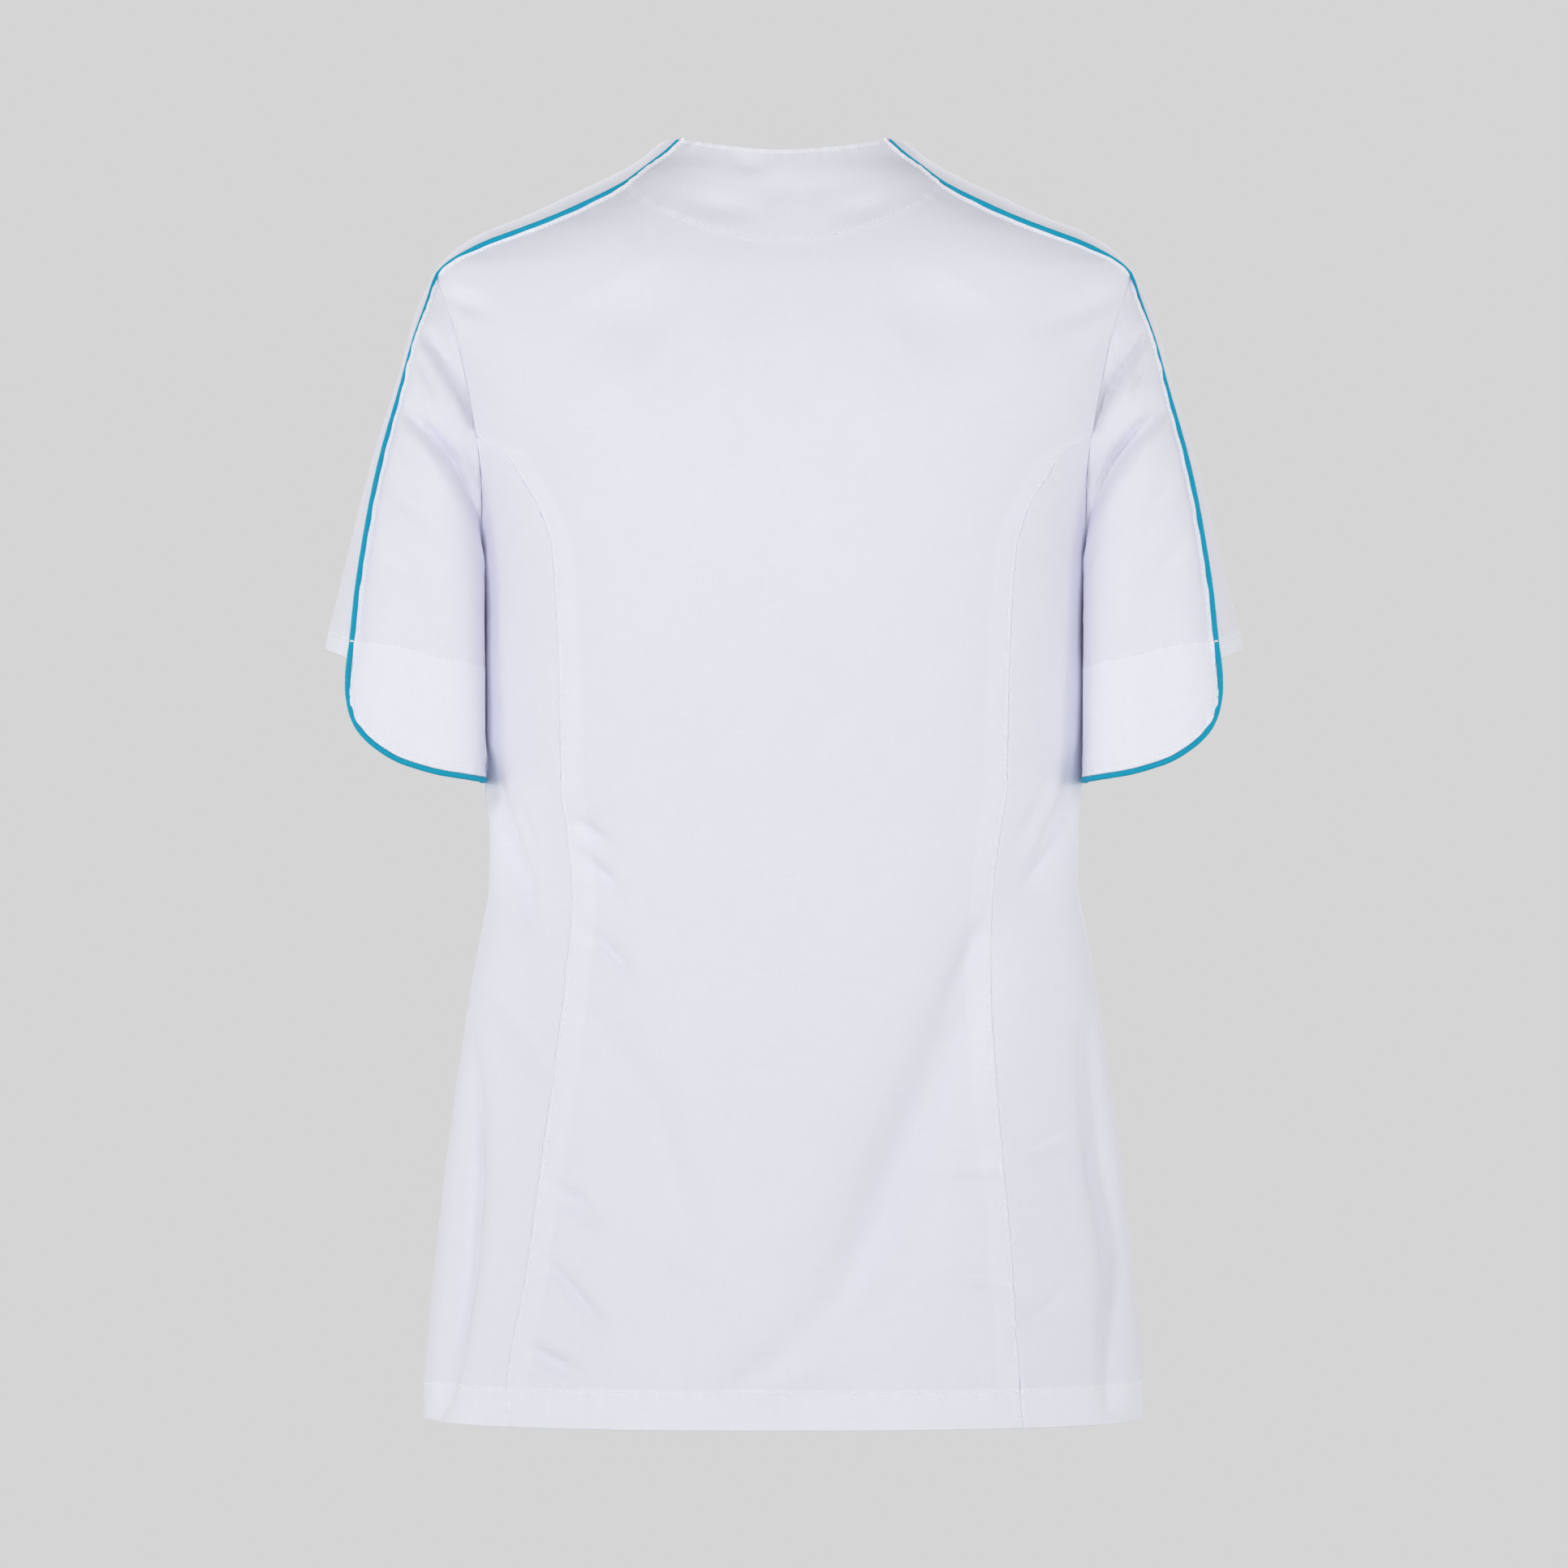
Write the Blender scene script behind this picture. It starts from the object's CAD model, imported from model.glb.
"""Dresses the hollow medical tunic: fine cloth on the same forms as its solids, with its
creases, turned edges, topstitching and piping, plain studio light and the camera.

Lengths in the tables are millimetres and angles degrees; meshes are made in metres.
"""

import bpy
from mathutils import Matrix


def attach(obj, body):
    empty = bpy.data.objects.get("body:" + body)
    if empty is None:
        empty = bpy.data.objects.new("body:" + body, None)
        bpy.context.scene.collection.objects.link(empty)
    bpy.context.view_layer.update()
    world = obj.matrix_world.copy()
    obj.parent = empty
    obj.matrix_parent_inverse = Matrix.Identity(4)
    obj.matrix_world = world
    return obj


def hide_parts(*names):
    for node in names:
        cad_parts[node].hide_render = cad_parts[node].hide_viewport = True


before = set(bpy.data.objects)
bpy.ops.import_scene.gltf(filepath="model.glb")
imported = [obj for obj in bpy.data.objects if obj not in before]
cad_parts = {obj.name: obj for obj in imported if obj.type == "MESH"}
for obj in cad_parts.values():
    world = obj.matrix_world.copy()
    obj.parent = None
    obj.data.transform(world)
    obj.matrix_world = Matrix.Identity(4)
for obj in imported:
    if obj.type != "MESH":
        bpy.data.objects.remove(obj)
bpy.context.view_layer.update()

import math
from collections import namedtuple

import bpy
import numpy as np

MM = 0.001

# ================================================================ camera
CAMERA_DISTANCE = 5.0
CAMERA_HEIGHT = -0.3446
FRAME_WIDTH = 0.8984          # metres across the picture at the tunic's middle
SENSOR = 36.0


def make_camera():
    data = bpy.data.cameras.new("camera")
    data.sensor_width = SENSOR
    data.lens = SENSOR * CAMERA_DISTANCE / FRAME_WIDTH
    camera = bpy.data.objects.new("camera", data)
    camera.location = (0.0, -CAMERA_DISTANCE, CAMERA_HEIGHT)
    camera.rotation_euler = (math.radians(90), 0.0, 0.0)
    bpy.context.scene.collection.objects.link(camera)
    bpy.context.scene.camera = camera


make_camera()


def table(columns, *rows):
    """A short table whose rows have these named columns."""
    row = namedtuple("Row", columns)
    return [row(*values) for values in rows]


# ================================================================ the form of the solids
SECTIONS = table(
    "z half_width back_depth front_depth boxy_back boxy_front",
    (24, 69.5, 44, 40, 2.2, 2.1),
    (14, 81, 48, 44, 2.2, 2.1),
    (4, 98, 54, 49, 2.3, 2.1),
    (-9, 125.5, 60, 56, 2.4, 2.1),
    (-20, 149, 66, 62, 2.5, 2.2),
    (-30, 174, 71, 66, 2.5, 2.2),
    (-40, 189.5, 76, 71, 2.5, 2.2),
    (-51, 199.5, 81, 76, 2.5, 2.2),
    (-70, 203.5, 87.5, 84, 2.5, 2.3),
    (-100, 200.5, 96, 95, 2.5, 2.3),
    (-145, 190, 103, 110, 2.5, 2.3),
    (-180, 180, 105, 118, 2.6, 2.3),
    (-215, 173, 104.5, 121.5, 2.7, 2.3),
    (-250, 171.4, 101, 120, 2.8, 2.3),
    (-346, 171.2, 88, 101, 2.7, 2.3),
    (-374, 168.8, 85, 97, 2.6, 2.3),
    (-402, 168.8, 84.5, 95.5, 2.5, 2.3),
    (-430, 173.5, 86, 97, 2.5, 2.3),
    (-500, 185.3, 95, 104, 2.4, 2.3),
    (-584, 196, 106, 111, 2.4, 2.3),
    (-667, 204.5, 113.5, 115.5, 2.4, 2.4),
    (-706.8, 206, 116, 117, 2.4, 2.4),
)
HEM_LEVEL = -706.8
UNDERARM_LEVEL = -215.0
HEM_ROWS = 21
ROW_DROP = (UNDERARM_LEVEL - HEM_LEVEL) / HEM_ROWS    # from row to row below the underarm

SHOULDER_SEAM = table("z y", (23.5, -27), (10, -30.5), (-4, -40.5), (-17, -46), (-29, -48.5),
                      (-39.5, -41.5), (-48.5, -31.5))
ARMHOLE_MIDDLE = -132.75
ARMHOLE_HALF_HEIGHT = 82.25
ARMHOLE_BACK = 53.0
ARMHOLE_FRONT = 56.0
ARMHOLE_SQUARENESS = 2.25
ARMHOLE_SEAM = 22.0
ARMHOLE_BACK_ANGLES = [22, 34, 47, 62, 80, 98]
UNDERARM_BACK_ANGLES = [113, 129, 146, 163, 180]
ARMHOLE_FRONT_ANGLES = [22, 8, -8, -24, -41, -59, -77, -94]
UNDERARM_FRONT_ANGLES = [-108, -124, -142, -161, -180]
# Rows at which the shoulder ends and the princess seams start.
SHOULDER_ROWS = len(SHOULDER_SEAM)
BACK_ARMHOLE_END = SHOULDER_ROWS + len(ARMHOLE_BACK_ANGLES) - 1
FRONT_ARMHOLE_END = SHOULDER_ROWS + len(ARMHOLE_FRONT_ANGLES) - 1
SIDE_UNDERARM_ROW = len(UNDERARM_BACK_ANGLES)

BACK_PRINCESS = table(
    "z left right",
    (-160, 158, 158), (-176, 145.7, 145.7), (-194, 136.4, 136.4), (-214, 131.3, 131.3),
    (-236, 129.4, 129.4), (-291, 127.3, 127.3), (-350, 126.1, 126.1), (-391, 121.2, 120.2),
    (-409, 120.2, 119.5), (-464, 125.6, 119.5), (-517, 132.2, 121.5), (-569, 138.9, 125.5),
    (-631, 147.6, 130), (-684, 156.8, 133), (-706.8, 156.4, 134.7),
)
FRONT_PRINCESS = table(
    "z left right",
    (-150, 160, 160), (-163, 146, 146), (-180, 131, 131), (-200, 118, 118), (-240, 105, 105),
    (-300, 98, 98), (-391, 92, 92), (-464, 98, 98), (-569, 112, 112), (-706.8, 128, 128),
)
BACK_PRINCESS_ROWS = [-158, -171, -185, -200, -216]
FRONT_PRINCESS_ROWS = [-150, -163, -178, -196, -216]
BACK_MIDDLE_ROWS = [15.9, -11, -39, -53, -66, -78, -89, -99, -108, -118, -128, -139, -152, -163,
                    -175, -188, -202, -217]
NECK_FACING_ROW = 2
FRONT_MIDDLE_ROWS = [-124, -143, -164, -188, -216]
SHOULDER_TIP_LIFT = [0, 0, 0, 0, 0, 3, 6, 9, 9, 7, 4, 2, 0]
LIFT_PEAK = 6.75
FRONT_NECK = table("z angle", (22, 97), (8, 110), (-12, 122), (-40, 138), (-70, 156), (-95, 171),
                   (-105, 180))

SLEEVE_RINGS = table(
    "reach outer_x outer_z inner_x inner_z back_depth front_depth boxy",
    (15.6, 209.5, -71, 173.6, -224, 59, 62, 2.2),
    (41.6, 221, -112, 173.6, -234, 64, 66, 2.3),
    (73.6, 236, -160, 173.6, -248, 67, 68, 2.4),
    (112.6, 250, -215, 173.4, -270, 68, 68, 2.5),
    (154.6, 262.5, -268, 173.2, -300, 68, 67, 2.5),
    (213.6, 268, -330, 173.2, -356, 68, 67, 2.5),
)
SLEEVE_CLEARANCE = 0.7
SLEEVE_SEAM = table(
    "reach angle",
    (0, ARMHOLE_SEAM), (8, 31), (20, 36), (45, 37.5), (65, 41), (92, 45.5), (120, 50), (146, 55),
    (165, 56.5), (213.6, 57),
)
FRONT_SLEEVE_HEM = 154.6
FRONT_SLEEVE_HEM_DEPTH = 8.0
BACK_SLEEVE_HEM = table(
    "angle facing hem",
    (57, 145.5, 172), (60, 145, 181), (67, 143, 189), (78, 140.5, 195), (97, 136.5, 199.5),
    (115, 133.5, 200), (135, 128, 198.5), (160, 126, 198), (180, 125, 198),
)

PIPING_RADIUS = 1.6
PIPING_TURN = 95.0
PIPING_LIFT = 1.75       # of its middle above the seam
# How much of the cord stands out of the seam: its radius at distances along each run.
SHOULDER_CORD = [(0, 0.75), (38, 0.85), (52, 1.3), (76, 1.6), (126, 1.6), (146, 1.2), (160, 0.95)]
SLEEVE_CORD = [(0, 0.95), (12, 0.8), (40, 0.9), (75, 1.3), (112, 1.6), (300, 1.6)]

# ================================================================ cloth
CLOTH = 0.6
FACING = 0.5
FACING_START = 0.75      # below the face of the cloth that it lies inside
HEM_DEPTH = 21.0
STITCH_FROM_SEAM = 2.5
STITCH_FROM_PIPING = 3.4
STITCH_FROM_EDGE = 2.4
SEAM_BAND = 14.0         # seam allowance that shows through beside a princess seam
EDGE_OFFSETS = [0.0, 0.35, 0.8, 1.3, 1.9, 2.5, 3.1, 3.9, 5.2]
SEAM_STITCH_COLUMN = EDGE_OFFSETS.index(STITCH_FROM_SEAM)
PIPING_STITCH_COLUMN = EDGE_OFFSETS.index(3.1)
FAR = 99.0               # the distance of what is too far off to count

# Folds: a soft trough (or ridge, where depth is negative) along a path. Those of the solids
# come first, with (angle, z) on the body or (x, z) on the back of a sleeve.
FOLD = "depth half_width path"
FORM_FOLDS = table(
    FOLD,
    (6, 11, [(-77, -510), (-74, -565), (-73, -625), (-76, -695)]),
    (6, 11, [(77, -490), (76, -550), (77, -605), (72, -690)]),
    (4.5, 34, [(56, -440), (41, -528), (20, -605), (-10, -665)]),
    (2.5, 24, [(-57, -467), (-44, -520), (-26, -590)]),
    (3, 13, [(-84, -330), (-77, -374), (-66, -429)]),
    (2.5, 13, [(82, -330), (74, -380), (63, -430)]),
    (3, 22, [(-52, -62), (-46, -80), (-36, -98)]),
    (3, 22, [(52, -62), (46, -80), (36, -98)]),
    (4, 26, [(-122, -410), (-138, -520), (-160, -640)]),
    (4, 26, [(120, -400), (140, -530), (158, -650)]),
)
DEGREE_ON_BODY = 2.4
SLEEVE_FORM_FOLDS = table(
    FOLD,
    (2, 7, [(205, -86), (190, -107), (180, -126)]),
    (4, 9, [(216, -131), (199, -147), (186, -164), (177, -186)]),
    (2.5, 10, [(223, -169), (203, -197)]),
    (2.5, 11, [(231, -205), (209, -229)]),
)
# Creases on the back, by (x, z) as seen from behind.
BACK_CREASES = table(
    FOLD,
    (6.5, 16, [(113, -437), (104, -472), (70, -556), (56, -593), (33, -639), (-16, -681)]),
    (2.6, 11, [(-117, -468), (-98, -492), (-74, -528), (-53, -593)]),
    (2.8, 15, [(-100, -572), (-62, -602), (-22, -626)]),
    (2.4, 12, [(60, -655), (24, -672), (-40, -684)]),
    (2.6, 3.8, [(-118, -366), (-110, -371), (-99, -380)]),
    (3, 4.2, [(-114, -385), (-107, -392), (-95, -404)]),
    (3.2, 5, [(-113, -427), (-104, -435), (-87, -453)]),
    (2.6, 5, [(-168, -330), (-163, -354), (-158, -374), (-149, -398), (-137, -430)]),
    (1.8, 4, [(-153, -351), (-146, -371), (-139, -389)]),
    (2.2, 6, [(-166, -456), (-152, -482), (-134, -512)]),
    (2.4, 5, [(166, -330), (162, -355), (152, -379), (138, -405)]),
    (1.7, 4.5, [(150, -345), (141, -365), (132, -383)]),
    (2, 6.5, [(116, -418), (108, -440), (95, -468)]),
    (3.2, 4.6, [(-132, -571), (-122, -577), (-106, -590)]),
    (3.4, 4.2, [(-137, -614), (-126, -622), (-104, -648)]),
    (3.4, 3.8, [(-144, -663), (-135, -667), (-117, -676)]),
    (1.7, 5, [(130, -561), (112, -560), (90, -562)]),
    (1.6, 5.5, [(131, -625), (115, -622), (96, -621)]),
    (2.2, 5.5, [(134, -556), (147, -549), (163, -541)]),
    (2.2, 5.5, [(134, -652), (148, -642), (163, -628)]),
    (1.8, 5.5, [(-192, -66), (-184, -70), (-170, -77)]),
    (1.6, 7, [(193, -64), (171, -75), (147, -87)]),
    (1.2, 4, [(-29, 9), (-20, 6), (-11, 8)]),
    (1.3, 6, [(-54, -15), (-38, -18), (-18, -20)]),
    (1, 6, [(30, -22), (48, -19), (62, -14)]),
    (3.4, 3.8, [(-179, -490), (-179, -549), (-182, -599), (-185, -629), (-187, -654),
                (-193, -684), (-200, -712)]),
    (3.4, 3.8, [(174, -480), (176, -525), (180, -553), (185, -581), (190, -612), (190, -629),
                (186, -646), (185, -668), (187, -700)]),
)
# The same kind of creases on the front, which no picture shows.
FRONT_CREASES = table(
    FOLD,
    (2, 5, [(-96, -372), (-84, -384), (-66, -402)]),
    (2.4, 6.5, [(-96, -420), (-80, -440), (-58, -470)]),
    (2, 5, [(96, -380), (82, -392), (62, -410)]),
    (2.3, 6.5, [(96, -432), (84, -455), (66, -490)]),
    (2.4, 5.5, [(-160, -330), (-146, -360), (-124, -392)]),
    (2.4, 5.5, [(160, -334), (148, -366), (128, -400)]),
    (1.8, 5, [(-118, -570), (-100, -580), (-78, -596)]),
    (1.8, 5, [(120, -600), (104, -606), (84, -618)]),
    (3, 14, [(-90, -470), (-52, -560), (-20, -650)]),
    (2.6, 14, [(88, -480), (46, -590), (10, -660)]),
    (2.5, 12, [(-150, -150), (-128, -175), (-96, -196)]),
    (2.5, 12, [(150, -150), (128, -175), (96, -196)]),
    (1.6, 8, [(-70, -40), (-84, -66), (-92, -96)]),
    (1.6, 8, [(70, -40), (84, -66), (92, -96)]),
)
SLEEVE_CREASES = table(
    FOLD,
    (3.6, 3.2, [(206, -85), (191, -107), (181, -125), (176, -141)]),
    (-1.6, 4, [(211, -96), (198, -114), (186, -132)]),
    (1.8, 3, [(208, -100), (203, -110), (198, -122)]),
    (4.6, 3.4, [(216, -131), (199, -147), (186, -163), (177, -184), (174, -202)]),
    (-2.2, 4.6, [(215, -142), (203, -156), (191, -172), (183, -192)]),
    (2.6, 3.5, [(180, -157), (176, -166), (173, -175)]),
    (2, 1.8, [(201, -96), (191, -110), (182, -126), (176, -142)]),
    (2.4, 1.9, [(203, -142), (191, -156), (182, -172), (177, -187), (174, -200)]),
    (1.2, 2.2, [(206, -104), (202, -113), (196, -123)]),
    (1, 5, [(224, -168), (213, -183), (202, -199)]),
    (0.8, 5, [(231, -204), (220, -217), (208, -231)]),
)
# How strongly the folds and creases show, and the height and pitch of two ripples of the body.
FORM_STRENGTH, CREASE_STRENGTH = 1.5, 1.8
SLEEVE_FORM_STRENGTH, SLEEVE_FRONT_STRENGTH, SLEEVE_CREASE_STRENGTH = 1.2, 0.6, 1.5
BROAD_RIPPLE, FINE_RIPPLE = (0.45, 95.0), (0.12, 31.0)
SLEEVE_RIPPLE = (0.35, 52.0)
# How far the underside of a sleeve leans to the body, at which angle and over how many.
UNDERARM_HUG, HUG_ANGLE, HUG_SPREAD = 4.2, 146.0, 21.0
SLEEVE_BASE_SQUARENESS = 1.6     # of its back half below the middle
SLEEVE_MIDDLE = 215.0            # x of a sleeve's middle, which its cloth faces away from
# How high the cloth's edge stands up against the piping.
RIDGE_HEIGHT, FRONT_SHOULDER_RIDGE, FRONT_SLEEVE_RIDGE = 1.4, 0.6, 0.5


# ================================================================ curves
def column(rows, name):
    return np.array([getattr(row, name) for row in rows], dtype=float)


def hermite(knots, values, slopes, at):
    at = np.clip(at, knots[0], knots[-1])
    piece = np.clip(np.searchsorted(knots, at, side="right") - 1, 0, len(knots) - 2)
    width = knots[piece + 1] - knots[piece]
    t = (at - knots[piece]) / width
    start, end = values(piece), values(piece + 1)
    rise_start, rise_end = slopes(piece), slopes(piece + 1)
    if start.ndim > at.ndim:
        t, width = t[..., None], width[..., None]
    return ((2 * t**3 - 3 * t**2 + 1) * start + (t**3 - 2 * t**2 + t) * width * rise_start
            + (3 * t**2 - 2 * t**3) * end + (t**3 - t**2) * width * rise_end)


def smooth(knots, values):
    """A smooth curve through a table that never overshoots its rows."""
    order = np.argsort(knots)
    knots = np.asarray(knots, dtype=float)[order]
    values = np.asarray(values, dtype=float)[order]
    step = np.diff(knots)
    rise = np.diff(values) / step
    slope = np.zeros(len(values))
    slope[0], slope[-1] = rise[0], rise[-1]
    for i in range(1, len(values) - 1):
        if rise[i - 1] * rise[i] > 0:
            before = 2 * step[i] + step[i - 1]
            after = step[i] + 2 * step[i - 1]
            slope[i] = (before + after) / (before / rise[i - 1] + after / rise[i])
    return lambda at: hermite(knots, lambda i: values[i], lambda i: slope[i],
                              np.asarray(at, dtype=float))


def curve(rows, name, by="z"):
    return smooth(column(rows, by), column(rows, name))


def run_of(points):
    """The distance along a line at each of its points."""
    return np.concatenate([[0.0], np.cumsum(np.linalg.norm(np.diff(points, axis=0), axis=1))])


def between(at, knots, values):
    """Rows of values at places between their knots."""
    return np.stack([np.interp(at, knots, part) for part in values.T], axis=-1)


def unit(vectors):
    return vectors / np.maximum(np.linalg.norm(vectors, axis=-1, keepdims=True), 1e-12)


def ease(value, low, high):
    t = np.clip((value - low) / (high - low), 0.0, 1.0)
    return t * t * (3 - 2 * t)


def fold_depth(folds, across, z, across_scale=1.0):
    """How far the folds push the cloth in, at points given across and up the cloth."""
    spot = np.stack([across * across_scale, z], axis=-1)
    total = np.zeros(z.shape)
    for fold in folds:
        path = np.array(fold.path, dtype=float) * (across_scale, 1.0)
        reach = 3 * fold.half_width
        near = ((spot > path.min(axis=0) - reach) & (spot < path.max(axis=0) + reach)).all(axis=-1)
        if not near.any():
            continue
        at = spot[near]
        lengths = np.linalg.norm(np.diff(path, axis=0), axis=1)
        nearest, place, done = np.full(len(at), 1e9), np.zeros(len(at)), 0.0
        for start, end, length in zip(path[:-1], path[1:], lengths):
            direction = (end - start) / length
            along = np.clip((at - start) @ direction, 0.0, length)
            distance = np.linalg.norm(at - start - along[:, None] * direction, axis=1)
            closer = distance < nearest
            nearest = np.where(closer, distance, nearest)
            place = np.where(closer, (done + along) / lengths.sum(), place)
            done += length
        fade = np.sin(np.pi * (0.12 + 0.76 * place))
        total[near] += fold.depth * fade * np.exp(-(nearest / fold.half_width) ** 2)
    return total


def ripple(a, b, height, pitch):
    """Gentle unevenness of about one wave each pitch, the same each run."""
    a, b = a * 2 * np.pi / pitch, b * 2 * np.pi / pitch
    return height * ((np.sin(a + 1.3 * np.sin(0.7 * b + 0.4))
                      * np.cos(0.8 * b + 1.1 * np.sin(0.6 * a))
                      + 0.5 * np.sin(1.7 * b - 1.2 * a + 2.0)) / 1.5)


# ================================================================ the body
SECTION_CURVES = {name: curve(SECTIONS, name) for name in SECTIONS[0]._fields[1:]}


def half_section(z, behind):
    """Half width, depth and squareness of the sections at z, behind or in front."""
    at = {name: shape(z) for name, shape in SECTION_CURVES.items()}
    return (at["half_width"], np.where(behind, at["back_depth"], at["front_depth"]),
            np.where(behind, at["boxy_back"], at["boxy_front"]))


def body_point(angle, z):
    """Outer face of the cloth at an angle round the body: 0 is the centre back, 90 the
    right side, 180 the centre front, and the left side is negative."""
    angle, z = np.broadcast_arrays(np.asarray(angle, dtype=float), np.asarray(z, dtype=float))
    to_back, to_side = np.cos(np.radians(angle)), np.sin(np.radians(angle))
    behind = to_back > 0
    half_width, depth, boxy = half_section(z, behind)
    back_part, side_part = np.abs(to_back) / depth, np.abs(to_side) / half_width
    radius = (back_part**boxy + side_part**boxy) ** (-1.0 / boxy)
    x, y = radius * to_side, -radius * to_back
    normal_x = np.sign(to_side) * (side_part * radius) ** (boxy - 1) / half_width
    normal_y = -np.sign(to_back) * (back_part * radius) ** (boxy - 1) / depth
    round_body = angle * DEGREE_ON_BODY
    push = (FORM_STRENGTH * fold_depth(FORM_FOLDS, angle, z, DEGREE_ON_BODY)
            + CREASE_STRENGTH * np.where(behind, fold_depth(BACK_CREASES, x, z),
                                         fold_depth(FRONT_CREASES, x, z))
            + ripple(round_body, z, *BROAD_RIPPLE) * ease(-z, 20.0, 160.0)
            + ripple(round_body, z, *FINE_RIPPLE) * ease(-z, 20.0, 120.0))
    push = push / np.hypot(normal_x, normal_y)
    return np.stack([x - normal_x * push, y - normal_y * push, z], axis=-1)


def body_normal(angle, z):
    turn, rise = 0.2, 0.5
    across = body_point(angle + turn, z) - body_point(angle - turn, z)
    up = body_point(angle, z + rise) - body_point(angle, z - rise)
    return unit(np.cross(across, up))


def angle_at_y(z, y, side):
    """The angle at which the section at z passes y on a side (1 right, -1 left)."""
    half_width, depth, boxy = half_section(z, y <= 0)
    x = half_width * (1 - np.clip(np.abs(y) / depth, 0.0, 1.0) ** boxy) ** (1 / boxy)
    return np.degrees(np.arctan2(side * x, -y))


def angle_at_x(z, x, side, front):
    half_width, depth, boxy = half_section(z, not front)
    y = depth * (1 - (x / half_width) ** boxy) ** (1 / boxy) * (1 if front else -1)
    return np.degrees(np.arctan2(side * x, -y))


def armhole_place(ring_angle, side):
    """(angle, z) on the body of points of the armhole."""
    ring_angle = np.asarray(ring_angle, dtype=float)
    up, back = np.cos(np.radians(ring_angle)), np.sin(np.radians(ring_angle))
    power = 2 / ARMHOLE_SQUARENESS
    z = ARMHOLE_MIDDLE + ARMHOLE_HALF_HEIGHT * np.sign(up) * np.abs(up) ** power
    depth = np.where(ring_angle > 0, ARMHOLE_BACK, ARMHOLE_FRONT)
    y = -depth * np.sign(back) * np.abs(back) ** power
    return np.stack([angle_at_y(z, y, side), z], axis=-1)


# ================================================================ edges of the panels
# An edge is a fine table of (angle, z) places with STEPS of them for each row of the solids,
# so a row number t, whole or not, finds the same place on both sides of a seam.
STEPS = 32


def fine(count):
    return np.arange((count - 1) * STEPS + 1) / STEPS


def through(nodes):
    nodes = np.array(nodes, dtype=float)
    return np.stack([smooth(np.arange(len(nodes)), part)(fine(len(nodes))) for part in nodes.T],
                    axis=-1)


def armhole_run(ring_angles, side):
    at = np.interp(fine(len(ring_angles)), np.arange(len(ring_angles)), ring_angles)
    return armhole_place(at, side)


def joined(*runs):
    return np.concatenate([runs[0]] + [run[1:] for run in runs[1:]])


def lower_levels():
    return list(np.linspace(UNDERARM_LEVEL, HEM_LEVEL, HEM_ROWS + 1)[1:])


def shoulder_run(side):
    z, y = column(SHOULDER_SEAM, "z"), column(SHOULDER_SEAM, "y")
    nodes = np.stack([angle_at_y(z, y, side), z], axis=-1)
    return through(np.vstack([nodes, armhole_place(ARMHOLE_SEAM, side)]))


def outer_edge(ring_angles, princess, rows, side):
    """Down the shoulder seam, the armhole and the princess seam."""
    z = np.array(rows + lower_levels())
    x = curve(princess, "right" if side > 0 else "left")(z)
    down = np.stack([angle_at_x(z, x, side, princess is FRONT_PRINCESS), z], axis=-1)
    return joined(shoulder_run(side), armhole_run(ring_angles, side),
                  through(np.vstack([armhole_place(ring_angles[-1], side), down])))


def back_edge(side):
    return outer_edge(ARMHOLE_BACK_ANGLES, BACK_PRINCESS, BACK_PRINCESS_ROWS, side)


def front_edge(side):
    return outer_edge(ARMHOLE_FRONT_ANGLES, FRONT_PRINCESS, FRONT_PRINCESS_ROWS, side)


def front_middle_edge(side):
    """The V of the neck, then the centre front."""
    z = np.linspace(FRONT_NECK[0].z, FRONT_NECK[-1].z, FRONT_ARMHOLE_END * STEPS + 1)
    neck = np.stack([side * curve(FRONT_NECK, "angle")(z), z], axis=-1)
    levels = [FRONT_NECK[-1].z] + FRONT_MIDDLE_ROWS + lower_levels()
    return joined(neck, through([(side * 180.0, level) for level in levels]))


def side_edge(first_angles, side):
    return joined(armhole_run(first_angles, side),
                  through([(side * 90.0, z) for z in [UNDERARM_LEVEL] + lower_levels()]))


def place_on(edge, t):
    return between(t, np.arange(len(edge)) / STEPS, edge)


def place_between(first, second, t, share):
    a, b = place_on(first, t), place_on(second, t)
    return a + (b - a) * share[..., None]


# ================================================================ the sleeves
seam_angle = curve(SLEEVE_SEAM, "angle", "reach")
facing_reach = curve(BACK_SLEEVE_HEM, "facing", "angle")
hem_reach = curve(BACK_SLEEVE_HEM, "hem", "angle")


def back_sleeve_place(t, share):
    """(ring angle, reach) of the back half: t runs 0 to 1 to the facing, 2 at the hem."""
    first, last = BACK_SLEEVE_HEM[0], BACK_SLEEVE_HEM[-1]
    at = first.angle + (last.angle - first.angle) * share

    def down(facing, hem):
        return np.where(t < 1, facing * t, facing + (hem - facing) * (t - 1))

    seam = seam_angle(down(first.facing, first.hem))
    return 180.0 + (seam - 180.0) * (1 - share), down(facing_reach(at), hem_reach(at))


def front_sleeve_place(t, share):
    reach = FRONT_SLEEVE_HEM * t + 0.0 * share
    return -180.0 + (seam_angle(reach) + 180.0) * (1 - share), reach


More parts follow.
